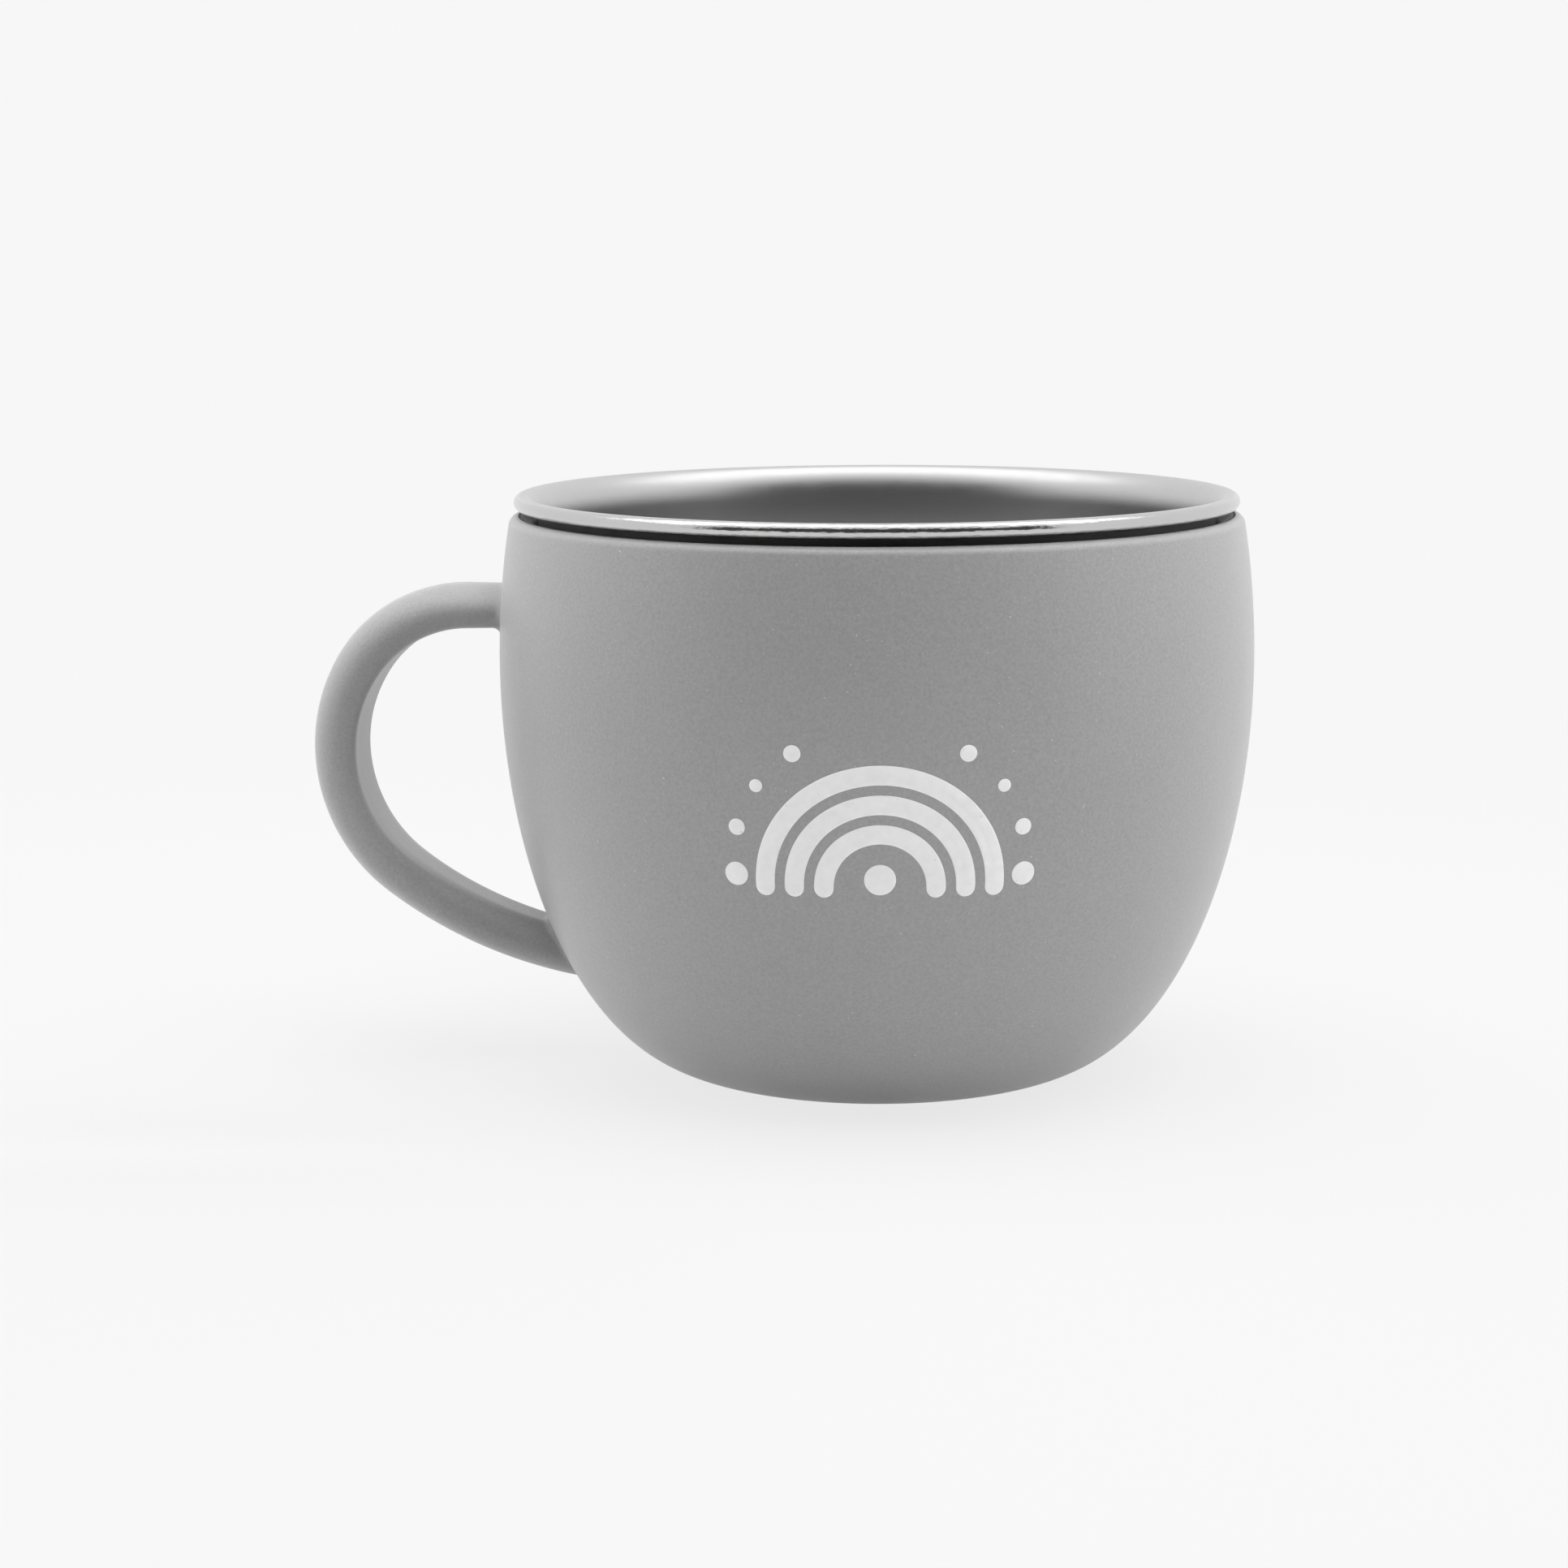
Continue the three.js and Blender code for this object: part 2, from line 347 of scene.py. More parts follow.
inkFinish = {
    "tone": (0.92, 0.92, 0.92, 1),
    "mottle": 0.16,
    "mottleFineness": 900,
    "roughness": 0.55,
    "ior": 1.46,
    "grainFineness": 3200,
    "grainSwing": 0.10,
    "grainDepth": 0.008,
    "pinholeFineness": 1100,  # the sleeve shows through the pinholes
    "pinholeRadius": 0.06,
    "pinholeShare": 0.3,
}


def makeInk():
    finish = inkFinish
    material, tree, shader = newMaterial("pad_printed_ink", IOR=finish["ior"])
    mottle = placeGroup(
        tree, toneDrift,
        Tone=finish["tone"], Spread=finish["mottle"], Fineness=finish["mottleFineness"],
    )
    pinholes = placeGroup(
        tree, lint,
        Fineness=finish["pinholeFineness"], Radius=finish["pinholeRadius"], Share=finish["pinholeShare"],
    )
    tone = mixBetween(tree, pinholes["Mask"], mottle["Color"], siliconeFinish["tone"])
    tree.links.new(tone, shader["Base Color"])
    grain = placeGrain(tree, finish)
    tree.links.new(grain["Roughness"], shader["Roughness"])
    tree.links.new(addBump(tree, grain["Height"], finish["grainDepth"]), shader["Normal"])
    return material


steelFinish = {
    "wallTone": (0.62, 0.62, 0.62, 1),
    "wallDriftFineness": 30,
    "throatShadeTone": (0.36, 0.36, 0.36, 1),  # painted shade: the inside of the wall just under the flare is darkened
    "throatShadeBand": (57.5, 62.0),  # heights above the foot over which that painted shade fades in, going up
    "rimTone": (0.59, 0.59, 0.59, 1),  # the flare and the rolled edge
    "rimDriftFineness": 80,
    "rimBand": (62.4, 64.4),
    "drift": 0.08,
    "roughness": 0.38,
    "beadRoughness": 0.18,  # the rolled edge
    "beadBand": (40.1, 40.7),  # from the axis
    "grainFineness": 7000,
    "grainSwing": 0.10,
    "grainDepth": 0.0010,
    "lineFineness": 3000,
    "lineLength": 32,
    "lineDetail": 2,
    "lineDepth": 0.0400,
    "lineSwing": 0.12,  # of the roughness
}


def maskTowardsAxis(tree, coords):
    # 1 on the faces that are turned to the cup's axis
    outwards = addMath(tree, "MULTIPLY", coords["Object"], (1, 1, 0), kind="VectorMath", output="Vector")
    lean = addMath(tree, "DOT_PRODUCT", outwards, coords["Normal"], kind="VectorMath")
    return addMath(tree, "LESS_THAN", lean, 0.0)


def makeSteel():
    finish = steelFinish
    material, tree, shader = newMaterial("drawn_steel", Metallic=1.0)

    def bandMask(value, band):
        low, high = finish[band]
        return easeBetween(tree, value, low * mm, high * mm)

    coords = addNode(tree, "TexCoord").outputs
    height = addNode(tree, "SeparateXYZ", Vector=coords["Object"]).outputs["Z"]
    wallTone = placeGroup(
        tree, toneDrift,
        Tone=finish["wallTone"], Spread=finish["drift"], Fineness=finish["wallDriftFineness"],
    )
    rimTone = placeGroup(
        tree, toneDrift,
        Tone=finish["rimTone"], Spread=finish["drift"], Fineness=finish["rimDriftFineness"],
    )
    # painted shade: the faces turned to the axis are darkened just under the flare, one steel given a
    # shaded copy of its tone
    paintedThroatShade = addMath(tree, "MULTIPLY", bandMask(height, "throatShadeBand"), maskTowardsAxis(tree, coords))
    inside = mixBetween(tree, paintedThroatShade, wallTone["Color"], finish["throatShadeTone"])
    tone = mixBetween(tree, bandMask(height, "rimBand"), inside, rimTone["Color"])
    tree.links.new(tone, shader["Base Color"])

    lines = placeGroup(
        tree, turnedLines,
        Fineness=finish["lineFineness"], Length=finish["lineLength"], Detail=finish["lineDetail"],
    )
    grain = placeGrain(tree, finish)
    bead = bandMask(lines["Radius"], "beadBand")
    polish = finish["beadRoughness"] - finish["roughness"]
    rough = addMath(tree, "MULTIPLY_ADD", bead, polish, grain["Roughness"])
    streaks = addMath(tree, "MULTIPLY_ADD", centred(tree, lines["Line"]), finish["lineSwing"], rough)
    tree.links.new(streaks, shader["Roughness"])
    fine = addBump(tree, grain["Height"], finish["grainDepth"])
    cut = addMath(tree, "MULTIPLY", lines["Line"], bead)  # the lines are cut into the rolled edge alone
    tree.links.new(addBump(tree, cut, finish["lineDepth"], Normal=fine), shader["Normal"])
    return material


silicone = makeSilicone()
steel = makeSteel()
ink = makeInk()
print("materials made")


# Sleeve: the grey moulding, body and handle in one skin

sleeveShape = {
    "bellyRadius": sleeveHigh.y,
    "bellyHeight": 47,
    "footRadius": 20,
    "shoulderArc": 98.5,
    "lipHeight": sleeveHigh.z,
    "lipOuterRound": 1.1,
    "lipInnerRound": 2.0,
    "lipWall": 3.1,
    "floorThickness": 3,
    "cavityFloorRadius": 17,
    "turns": 300,
    "steps": {
        "foot": 24, "bowl": 96, "shoulder": 30, "outerLip": 14,
        "innerLip": 8, "wall": 10, "cavityBowl": 64, "cavityFloor": 16,
    },
}
handleShape = {
    "reach": -sleeveLow.x,
    "top": 53,
    "bendRadius": 15.4,
    "bendTurn": 57.5,
    "bowRadius": 18.3,
    "bowTurn": 86.3,
    "tailRadius": 51.6,
    "width": 10,
    "thickness": 5.6,
    "topThickness": 4.7,  # where it leaves the body
    "swellLength": 25,
    "edgeRound": 1.2,
    "tailEdgeRound": 3.2,  # the corners soften towards the lower root
    "softFrom": 0.42,  # as shares of the length
    "softTo": 0.78,
    "rootFillet": 1,
    "lowerRootHeight": 13,
    "lowerRootSpan": 18,  # the stretch of the tail in which it enters the body
    "rings": 110,
    "filletSteps": 8,
    "blendRings": 6,
    "halfColumns": 10,  # grid cells of the body that each root takes, to each side
    "halfRows": 14,
    "windowHalf": (9, 8),  # about how far those cells reach, across and up
    "outlineSteps": {"crown": 400, "corner": 80, "face": 200},
}

shoulderRise = sleeveShape["lipHeight"] - sleeveShape["lipOuterRound"] - sleeveShape["bellyHeight"]
shoulderCentre = sleeveShape["bellyRadius"] - sleeveShape["shoulderArc"]
lipRadius = shoulderCentre + sqrt(sleeveShape["shoulderArc"] ** 2 - shoulderRise ** 2)
cavityRadius = lipRadius - sleeveShape["lipWall"]


def wallRadius(z):
    shape = sleeveShape
    up = z - shape["bellyHeight"]
    bulge = shape["bellyRadius"] - shape["footRadius"]
    low = shape["footRadius"] + bulge * np.sqrt(np.maximum(1 - (up / shape["bellyHeight"]) ** 2, 0))
    high = shoulderCentre + np.sqrt(shape["shoulderArc"] ** 2 - up ** 2)
    return np.where(up > 0, high, low)


def wallNormal(at):
    nudge = 1e-4
    slope = (wallRadius(at[:, 2] + nudge) - wallRadius(at[:, 2] - nudge)) / (2 * nudge)
    radius = np.hypot(at[:, 0], at[:, 1])
    normal = np.stack([at[:, 0] / radius, at[:, 1] / radius, -slope], axis=1)
    return normal / np.linalg.norm(normal, axis=1, keepdims=True)


def onWall(turn, z):
    radius = wallRadius(z)
    return np.stack([radius * np.cos(turn), radius * np.sin(turn), z], axis=1)


def sleeveProfile():
    shape = sleeveShape
    steps = shape["steps"]
    lip, belly, floorZ = shape["lipHeight"], shape["bellyHeight"], shape["floorThickness"]
    outerRound, innerRound = shape["lipOuterRound"], shape["lipInnerRound"]
    footRadius, floorRadius = shape["footRadius"], shape["cavityFloorRadius"]
    foot = [(r, 0) for r in np.linspace(0, footRadius, steps["foot"])]
    bowlRadii = (shape["bellyRadius"] - footRadius, belly)
    bowl = arcRun((footRadius, belly), bowlRadii, -90, 0, steps["bowl"])
    lean = 0
    for _ in range(8):  # settles where the lip's round leans as the shoulder does
        meet = lip - outerRound + outerRound * sin(lean)
        lean = asin((meet - belly) / shape["shoulderArc"])
    heights = np.linspace(belly, meet, steps["shoulder"])
    shoulder = np.stack([wallRadius(heights), heights], axis=1)
    outerCentre = (shoulder[-1][0] - outerRound * cos(lean), lip - outerRound)
    outerLip = arcRun(outerCentre, (outerRound, outerRound), degrees(lean), 90, steps["outerLip"])
    innerCentre = (cavityRadius + innerRound, lip - innerRound)
    innerLip = arcRun(innerCentre, (innerRound, innerRound), 90, 180, steps["innerLip"])
    wall = [(cavityRadius, z) for z in np.linspace(lip - innerRound, belly, steps["wall"])]
    cavityRadii = (cavityRadius - floorRadius, belly - floorZ)
    cavityBowl = arcRun((floorRadius, belly), cavityRadii, 0, -90, steps["cavityBowl"])
    cavityFloor = [(r, floorZ) for r in np.linspace(floorRadius, 0, steps["cavityFloor"])]
    return joinRuns(foot, bowl, shoulder, outerLip, innerLip, wall, cavityBowl, cavityFloor)


def barLine():
    # the handle's centre line: the length of its straight run, then three arcs
    # as centre, radius, start angle and end angle
    shape = handleShape
    bendRadius, bowRadius, tailRadius = shape["bendRadius"], shape["bowRadius"], shape["tailRadius"]
    bowX = bowRadius - shape["reach"] + shape["thickness"] / 2
    bendEnd = radians(90 + shape["bendTurn"])
    bowEnd = bendEnd + radians(shape["bowTurn"])
    tailEnd = 1.5 * pi  # where it runs level into the body
    bendToBow = bendRadius - bowRadius
    bowToTail = bowRadius - tailRadius
    bend = np.array([bowX - bendToBow * cos(bendEnd), shape["top"] - bendRadius])
    bow = bend + bendToBow * np.array([cos(bendEnd), sin(bendEnd)])
    tail = bow + bowToTail * np.array([cos(bowEnd), sin(bowEnd)])
    arcs = [
        (bend, bendRadius, pi / 2, bendEnd),
        (bow, bowRadius, bendEnd, bowEnd),
        (tail, tailRadius, bowEnd, tailEnd),
    ]
    return -cavityRadius - bend[0], arcs


straightLength, barArcs = barLine()
barLength = straightLength + sum(radius * (end - start) for _, radius, start, end in barArcs)


def barFrame(distance):
    # places along the centre line, with the direction that the crown faces
    place = np.stack([-cavityRadius - distance, np.full_like(distance, handleShape["top"])], axis=1)
    facing = np.full_like(distance, pi / 2)
    begun = straightLength
    for centre, radius, start, end in barArcs:
        here = distance > begun
        angle = start + (distance - begun) / radius
        swing = centre + radius * np.stack([np.cos(angle), np.sin(angle)], axis=1)
        place[here] = swing[here]
        facing[here] = angle[here]
        begun += radius * (end - start)
    return place, facing


def windowWalk():
    # once round the edge of the cells that a root takes, across and up
    columns, rows = handleShape["halfColumns"], handleShape["halfRows"]
    right = [(columns, v) for v in range(-rows, rows)]
    top = [(u, rows) for u in range(columns, -columns, -1)]
    left = [(-columns, v) for v in range(rows, -rows, -1)]
    bottom = [(u, -rows) for u in range(-columns, columns)]
    return np.array(right + top + left + bottom)


walk = windowWalk()
cellReach = np.array(handleShape["windowHalf"]) / (handleShape["halfColumns"], handleShape["halfRows"])
bearings = np.arctan2(walk[:, 1] * cellReach[1], walk[:, 0] * cellReach[0])


def barOutline(thickness, corner):
    # a half ellipse for the back on a flat inner face with rounded corners
    # one point on each bearing, followed by the direction square to the skin
    steps = handleShape["outlineSteps"]
    half = handleShape["width"] / 2
    outline = joinRuns(
        arcRun((0, corner), (half, thickness - corner), 0, 180, steps["crown"]),
        arcRun((corner - half, corner), (corner, corner), 180, 270, steps["corner"]),
        [(x, 0) for x in np.linspace(corner - half, half - corner, steps["face"])],
        arcRun((half - corner, corner), (corner, corner), 270, 360, steps["corner"]),
    )[:-1] - np.array([0, thickness / 2])
    slope = np.roll(outline, -1, axis=0) - np.roll(outline, 1, axis=0)
    square = np.stack([slope[:, 1], -slope[:, 0]], axis=1) / np.hypot(*slope.T)[:, None]
    turn = np.arctan2(outline[:, 1], outline[:, 0])
    order = np.argsort(turn)
    columns = np.concatenate([outline, square], axis=1)[order]
    return np.stack([np.interp(bearings, turn[order], c, period=2 * pi) for c in columns.T], axis=1)


slimSection = barOutline(handleShape["topThickness"], handleShape["edgeRound"])
fullSection = barOutline(handleShape["thickness"], handleShape["edgeRound"])
softSection = barOutline(handleShape["thickness"], handleShape["tailEdgeRound"])


def barPoints(distance, flare=0):
    # one point of the section per entry of distance, pushed out by flare square to the skin
    place, facing = barFrame(distance)
    swell = ease(distance, 0, handleShape["swellLength"])[:, None]
    soft = ease(distance / barLength, handleShape["softFrom"], handleShape["softTo"])[:, None]
    section = slimSection * (1 - swell) + (fullSection * (1 - soft) + softSection * soft) * swell
    crown = np.stack([np.cos(facing), np.zeros_like(facing), np.sin(facing)], axis=1)
    along = np.stack([-np.sin(facing), np.zeros_like(facing), np.cos(facing)], axis=1)
    across = np.array([0, 1, 0])
    square = section[:, 2:3] * across + section[:, 3:4] * crown
    at = np.stack([place[:, 0], np.zeros_like(facing), place[:, 1]], axis=1)
    at = at + section[:, 0:1] * across + section[:, 1:2] * crown + square * np.reshape(flare, (-1, 1))
    return at, along, square


def rootRings(inside, outside):
    # rings from the wall out to the bar, through a fillet that is tangent to both
    near = np.full(len(walk), inside, float)
    far = np.full(len(walk), outside, float)
    for _ in range(50):  # halves the stretch until only the crossing is left
        middle = (near + far) / 2
        at = barPoints(middle)[0]
        within = np.hypot(at[:, 0], at[:, 1]) < wallRadius(at[:, 2])
        near = np.where(within, middle, near)
        far = np.where(within, far, middle)
    crossing = (near + far) / 2
    at, along, square = barPoints(crossing)
    away = np.sign(outside - inside)
    normal = wallNormal(at)
    lean = np.arctan2((normal * square).sum(1), away * (normal * along).sum(1))
    fillet = handleShape["rootFillet"]
    reach = fillet / np.tan(pi / 4 + lean / 2)
    rings = []
    for step in range(handleShape["filletSteps"], -1, -1):
        turn = (pi / 2 - lean) * step / handleShape["filletSteps"]
        ends = crossing + away * (reach - fillet * np.sin(turn))
        rings.append(barPoints(ends, fillet * (1 - np.cos(turn)))[0])
    rings[0] = onWall(turnOf(rings[0]), rings[0][:, 2])
    return rings, ends


def blendRings(touch, edge):
    # rings on the wall from the hole that was left in the body's grid to the fillet's foot
    turnFrom, turnTo = turnOf(touch), turnOf(edge)
    rings = []
    for share in np.linspace(1, 0, handleShape["blendRings"] + 2)[1:-1]:
        turn = turnFrom + (turnTo - turnFrom) * share
        rings.append(onWall(turn, touch[:, 2] + (edge[:, 2] - touch[:, 2]) * share))
    return rings


def makeSleeve():
    profile = sleeveProfile()
    turns = sleeveShape["turns"]
    heights = profile[1:-1, 1]
    outside = int(np.argmax(heights))  # the rows from the foot up to the lip
    columns, rows = handleShape["halfColumns"], handleShape["halfRows"]
    handleSide = turns // 2  # the column of the grid that faces the handle
    skip, frames = set(), []
    for height, flip in ((handleShape["top"], 1), (handleShape["lowerRootHeight"], -1)):
        midRow = int(np.argmin(np.abs(heights[:outside] - height)))
        skip |= {(midRow + v, handleSide + u) for v in range(-rows, rows) for u in range(-columns, columns)}
        frames.append([(midRow + flip * v) * turns + handleSide - u for u, v in walk])
    points, faces = turnProfile(profile, turns, skip)

    upper, upperEnds = rootRings(0.0, straightLength)
    lower, lowerEnds = rootRings(barLength, barLength - handleShape["lowerRootSpan"])
    shares = np.linspace(0, 1, handleShape["rings"])[1:-1]
    bar = [barPoints(upperEnds + (lowerEnds - upperEnds) * share)[0] for share in shares]
    added = blendRings(upper[0], points[frames[0]]) + upper + bar
    added += lower[::-1] + blendRings(lower[0], points[frames[1]])[::-1]
    rings = numberRings(len(points), len(walk), len(added))
    faces += stitchRings([frames[0]] + rings + [frames[1]])
    sleeve = makePiece("sleeve_moulding", np.concatenate([points] + added), faces, silicone)
    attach(sleeve, "sleeve")
    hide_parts("silicone_sleeve")


makeSleeve()


# Print: three arches and some dots in pale ink on the front

printShape = {
    "turn": 4.4,  # degrees round from the front
    "middleHeight": 28.2,  # of the arches' centre, above the foot
    "wrapRise": 6.0,  # how far above that the lengths across are true
    "lean": 0.985,  # the wall leans out there, so a length along it rises a little less
    "archRadii": (12.4, 9.2, 6.0),
    "archWidth": 2.1,
    "archInsets": (0.5, 0.96),  # of the rings inside an arch, as shares of its half width
    "middleDot": (0, 1.0, 1.7),  # across, up, radius
    "dots": ((15.6, 1.2, 1.3), (15.2, 6.4, 0.9), (12.9, 11.0, 0.7), (9.0, 14.6, 0.9)),
    "dotShares": (0.5, 0.08),  # of the rings inside a dot, as shares of its radius
    "proud": 0.04,
    "edgeShare": 0.4,  # how much of that the edge has
    "edgeRound": 0.12,
    "sunk": 0.05,
    "archSteps": 72,
    "capSteps": 10,
    "dotSteps": 40,
}
printRadius = float(wallRadius(np.array(printShape["middleHeight"] + printShape["wrapRise"])))


def wrapFront(flat):
    # lays flat points (across, up, proud) on the front of the wall
    across, up, proud = np.asarray(flat, float).T
    turn = radians(printShape["turn"] - 90) + across / printRadius
    at = onWall(turn, printShape["middleHeight"] + up * printShape["lean"])
    return at + wallNormal(at) * proud[:, None]


def archOutline(radius, reach):
    archSteps, capSteps = printShape["archSteps"], printShape["capSteps"]
    outer = arcRun((0, 0), (radius + reach, radius + reach), 0, 180, archSteps)
    leftCap = arcRun((-radius, 0), (reach, reach), 180, 360, capSteps)[1:-1]
    inner = arcRun((0, 0), (radius - reach, radius - reach), 180, 0, archSteps)
    rightCap = arcRun((radius, 0), (reach, reach), 180, 360, capSteps)[1:-1]
    return np.concatenate([outer, leftCap, inner, rightCap])


def archPatch(radius):
    half = printShape["archWidth"] / 2
    insets = [0, printShape["edgeRound"]] + [half * share for share in printShape["archInsets"]]
    return [archOutline(radius, half - inset) for inset in insets]


def dotPatch(across, up, radius):
    shares = (1, 1 - printShape["edgeRound"] / radius) + printShape["dotShares"]
    radii = [(radius * share, radius * share) for share in shares]
    return [arcRun((across, up), size, 0, 360, printShape["dotSteps"])[:-1] for size in radii]


def makePrint():
    patches = [archPatch(radius) for radius in printShape["archRadii"]]
    patches.append(dotPatch(*printShape["middleDot"]))
    for across, up, radius in printShape["dots"]:
        patches.append(dotPatch(across, up, radius))
        patches.append(dotPatch(-across, up, radius))
    proud = printShape["proud"]
    points, faces = [], []
    for rings in patches:
        # a skirt sunk into the wall, then the top, from its edge inwards
        levels = [-printShape["sunk"], proud * printShape["edgeShare"]] + [proud] * (len(rings) - 1)
        first = len(points)
        count = len(rings[0])
        for ring, level in zip([rings[0]] + rings, levels):
            points.extend(wrapFront(np.column_stack([ring, np.full(count, level)])).tolist())
        loops = numberRings(first, count, len(levels))
        faces += stitchRings(loops)
        faces.append(tuple(loops[-1]))
        faces.append(tuple(reversed(loops[0])))
    front = makePiece("front_print", points, faces, ink)
    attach(front, "sleeve")


makePrint()


# Liner: the drawn steel cup with its rolled rim

linerShape = {
    "sheet": 0.5,
    "clearance": 0.3,  # to the sleeve
    "rimTop": linerHigh.z,
    "curlRadius": 0.86,
    "curlTurn": 262,
    "flareRadius": 2.4,  # outwards
    "flareHeight": 4.0,
    "floorRadius": 17,
    "floorBottom": linerLow.z,
    "panelRadius": 12.5,
    "panelRise": 0.6,
    "panelSlope": 1.2,
    "turns": 288,
    "steps": {
        "panel": 30, "slope": 10, "ledge": 8, "bowl": 72,
        "wall": 14, "flare": 24, "curl": 40, "tip": 8,
    },
}


def linerProfile():
    shape = linerShape
    steps = shape["steps"]
    sheet, curl, flare = shape["sheet"], shape["curlRadius"], shape["flareRadius"]
    panelRadius, panelRise, panelSlope = shape["panelRadius"], shape["panelRise"], shape["panelSlope"]
    floorRadius = shape["floorRadius"]
    wall = cavityRadius - shape["clearance"]
    belly = sleeveShape["bellyHeight"]
    flareZ = shape["rimTop"] - shape["flareHeight"]
    curlX, curlZ = wall - sheet + flare, shape["rimTop"] - curl
    curlEnd = 90 - shape["curlTurn"]

    def side(lift, wallAt, flareAt, curlAt):
        # one side of the sheet, from the middle of the floor to the end of the curl
        floorZ = shape["floorBottom"] + lift
        panel = [(r, floorZ + panelRise) for r in np.linspace(0, panelRadius, steps["panel"])]
        run = np.linspace(0, 1, steps["slope"])
        fall = floorZ + panelRise * (1 - ease(run, 0, 1))
        slope = np.stack([panelRadius + panelSlope * run, fall], axis=1)
        ledge = [(r, floorZ) for r in np.linspace(panelRadius + panelSlope, floorRadius, steps["ledge"])]
        bowlRadii = (wallAt - floorRadius, belly - floorZ)
        bowl = arcRun((floorRadius, belly), bowlRadii, -90, 0, steps["bowl"])
        upright = [(wallAt, z) for z in np.linspace(belly, flareZ, steps["wall"])]
        mouthRadii = (flareAt, shape["flareHeight"] - flare + flareAt)
        mouth = arcRun((curlX, flareZ), mouthRadii, 180, 90, steps["flare"])
        roll = arcRun((curlX, curlZ), (curlAt, curlAt), 90, curlEnd, steps["curl"])
        return joinRuns(panel, slope, ledge, bowl, upright, mouth, roll)

    under = side(0, wall, flare - sheet, curl - sheet)
    inside = side(sheet, wall - sheet, flare, curl)
    middle = curl - sheet / 2
    tipCentre = (curlX + middle * cos(radians(curlEnd)), curlZ + middle * sin(radians(curlEnd)))
    tip = arcRun(tipCentre, (sheet / 2, sheet / 2), curlEnd + 180, curlEnd, steps["tip"])
    return joinRuns(under, tip, inside[::-1])


def makeLiner():
    points, faces = turnProfile(linerProfile(), linerShape["turns"])
    liner = makePiece("liner_shell", points, faces, steel)
    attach(liner, "liner")
    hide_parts("steel_liner")


makeLiner()


# Floor, light and camera

view = {
    "orbit": 3.8,  # degrees round the cup's axis, which turns the handle a little away
    "place": (0, -389.8, 98.07),  # millimetres
    "pitch": 9.334,  # looking down, towards a point on the cup's axis
    "turn": 1.537,  # then turned to the left and down, which sets the cup right of and above the middle
    "tilt": 0.239,
    "lens": 78.61,
    "sensor": 36,
    "nearest": 0.01,  # metres
}
studio = {  # places and sizes in metres
    "paleTone": 0.93,
    "glows": {  # soft light on matt surfaces, from the walls of the tent that the cup stands in
        "leftBack": {"towards": (-0.7071, 0.7071, 0), "start": 0.4, "strength": 1.15},
        "right": {"towards": (1, 0, 0), "start": 0.35, "strength": 0.35},
        "rightBack": {"towards": (0.7071, 0.7071, 0), "start": 0.4, "strength": 2.20},
    },
    "floorHalf": 6,
    "floorTone": (0.60, 0.60, 0.60, 1),
    "bounceTone": (0.75, 0.75, 0.75, 1),  # the floor as it lights the cup
    "shadowShare": 0.16,  # how much of the floor's own shading the camera sees beside the cup
    "shadowNear": 0.10,
    "shadowFar": 0.34,
    "aim": (0, 0, 0.035),
    "lamps": {  # smooth surfaces mirror the top lamp alone, and the others light the matt ones
        "top": {"place": (0.0, 0.02, 0.75), "size": (1.70, 0.60), "watts": 3.4, "mirrored": True},
        "overhead": {"place": (0.0, -0.04, 0.75), "size": (0.70, 0.70), "watts": 6.7, "mirrored": False},
        "upperRight": {"place": (0.42, -0.10, 0.62), "size": (0.70, 0.70), "watts": 2.3, "mirrored": False},
        "left": {"place": (-0.60, 0.20, 0.14), "size": (0.70, 0.70), "watts": 3.9, "mirrored": False},
    },
    "cardTone": (0.02, 0.02, 0.02, 1),
    "cards": {  # the camera sees neither: smooth surfaces mirror one, and the other shades the handle
        "front": {"place": (0.0, -0.50, 0.27), "size": (1.40, 0.54), "mirrored": True},
        "handle": {"place": (-0.072, -0.042, 0.042), "size": (0.044, 0.042), "mirrored": False},
    },
}


def turned(place):
    # the studio is laid out from the camera's side of the cup
    return Matrix.Rotation(radians(view["orbit"]), 3, "Z") @ Vector(place)


def seenDirectly(tree):
    # 1 for camera, mirror and see-through rays, 0 for the light that bounces off matt surfaces
    path = addNode(tree, "LightPath").outputs
    seen = addMath(tree, "MAXIMUM", path["Is Camera Ray"], path["Is Glossy Ray"])
    return addMath(tree, "MAXIMUM", seen, path["Is Transmission Ray"])


def makeWorld():
    world = bpy.data.worlds.new("paleRoom")
    bpy.context.scene.world = world
    world.use_nodes = True
    tree = world.node_tree
    way = addNode(tree, "TexCoord").outputs["Generated"]
    total = 0.0
    for glow in studio["glows"].values():
        facing = addMath(tree, "DOT_PRODUCT", way, turned(glow["towards"]), kind="VectorMath")
        fall = easeBetween(tree, facing, glow["start"], 1)
        total = addMath(tree, "MULTIPLY_ADD", fall, glow["strength"], total)
    level = mixBetween(tree, seenDirectly(tree), total, studio["paleTone"], kind="FLOAT")
    back = tree.nodes["Background"]
    back.inputs["Color"].default_value = (1, 1, 1, 1)
    tree.links.new(level, back.inputs["Strength"])


def flatSheet(name, corners, material):
    mesh = bpy.data.meshes.new(name)
    mesh.from_pydata(corners, [], [(0, 1, 2, 3)])
    mesh.materials.append(material)
    sheet = bpy.data.objects.new(name, mesh)
    bpy.context.scene.collection.objects.link(sheet)
    return sheet


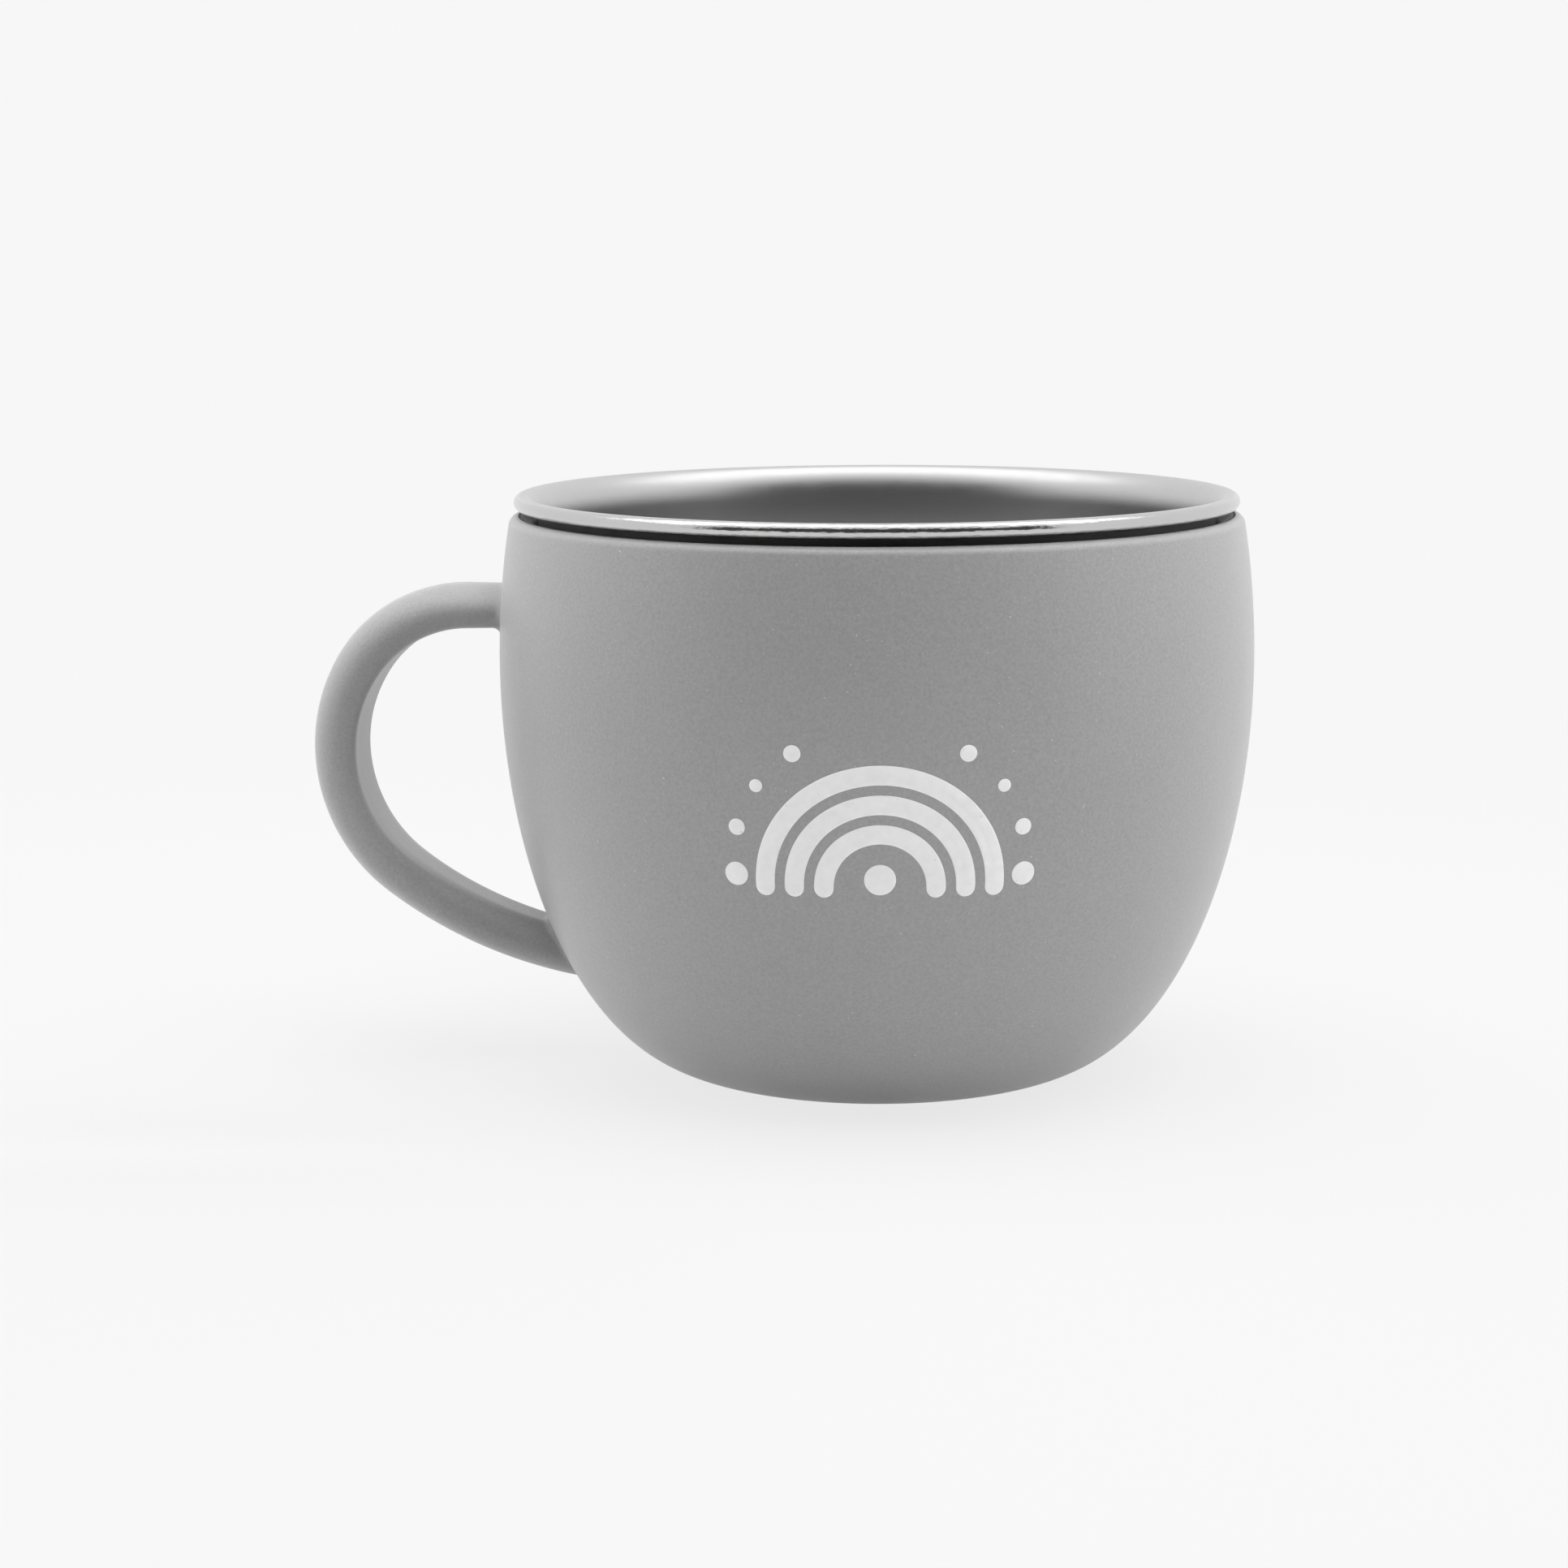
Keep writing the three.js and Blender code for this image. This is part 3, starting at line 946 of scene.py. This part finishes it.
def makeFloor():
    material = bpy.data.materials.new("pale_floor")
    material.use_nodes = True
    tree = material.node_tree
    tree.nodes.remove(tree.nodes["Principled BSDF"])
    seen = seenDirectly(tree)
    tone = mixBetween(tree, seen, studio["bounceTone"], studio["floorTone"])
    matt = addNode(tree, "BsdfDiffuse", Color=tone)
    pale = addNode(tree, "Emission", Color=(1, 1, 1, 1), Strength=studio["paleTone"])
    where = addNode(tree, "NewGeometry").outputs["Position"]
    away = addMath(tree, "LENGTH", where, kind="VectorMath")
    fade = easeBetween(tree, away, studio["shadowNear"], studio["shadowFar"])
    share = addMath(tree, "MULTIPLY_ADD", fade, studio["shadowShare"], 1 - studio["shadowShare"])
    mix = addNode(tree, "MixShader", Fac=addMath(tree, "MULTIPLY", seen, share))
    tree.links.new(matt.outputs[0], mix.inputs[1])
    tree.links.new(pale.outputs[0], mix.inputs[2])
    tree.links.new(mix.outputs[0], tree.nodes["Material Output"].inputs["Surface"])
    half = studio["floorHalf"]
    corners = [(-half, -half, 0), (half, -half, 0), (half, half, 0), (-half, half, 0)]
    floor = flatSheet("floor", corners, material)


def makeLamps():
    for name, lamp in studio["lamps"].items():
        light = bpy.data.lights.new(name + "_softbox", "AREA")
        light.shape = "RECTANGLE"
        light.size, light.size_y = lamp["size"]
        light.energy = lamp["watts"]
        holder = bpy.data.objects.new(name + "_softbox", light)
        holder.location = turned(lamp["place"])
        aim = Vector(studio["aim"]) - holder.location
        holder.rotation_euler = aim.to_track_quat("-Z", "Y").to_euler()
        holder.visible_glossy = lamp["mirrored"]
        holder.visible_diffuse = not lamp["mirrored"]
        bpy.context.scene.collection.objects.link(holder)


def makeCards():
    material = newMaterial("dark_card", Base_Color=studio["cardTone"], Roughness=1)[0]
    for name, card in studio["cards"].items():
        right, top = card["size"][0] / 2, card["size"][1] / 2
        corners = [(-right, 0, -top), (right, 0, -top), (right, 0, top), (-right, 0, top)]
        sheet = flatSheet(name + "_card", corners, material)
        sheet.location = turned(card["place"])
        sheet.rotation_euler = (0, 0, radians(view["orbit"]))
        sheet.visible_camera = False
        sheet.visible_glossy = card["mirrored"]
        sheet.visible_diffuse = not card["mirrored"]
        sheet.visible_shadow = False


def makeCamera():
    camera = bpy.data.cameras.new("camera")
    camera.lens = view["lens"]
    camera.sensor_width = view["sensor"]
    camera.clip_start = view["nearest"]
    holder = bpy.data.objects.new("camera", camera)
    holder.matrix_world = (
        Matrix.Rotation(radians(view["orbit"]), 4, "Z")
        @ Matrix.Translation(Vector(view["place"]) * mm)
        @ Matrix.Rotation(radians(90 - view["pitch"]), 4, "X")
        @ Matrix.Rotation(radians(view["turn"]), 4, "Y")
        @ Matrix.Rotation(radians(-view["tilt"]), 4, "X")
    )
    bpy.context.scene.collection.objects.link(holder)
    bpy.context.scene.camera = holder


makeWorld()
makeFloor()
makeLamps()
makeCards()
makeCamera()
bpy.context.scene.view_settings.view_transform = "Standard"
print("studio made")

bpy.context.view_layer.update()
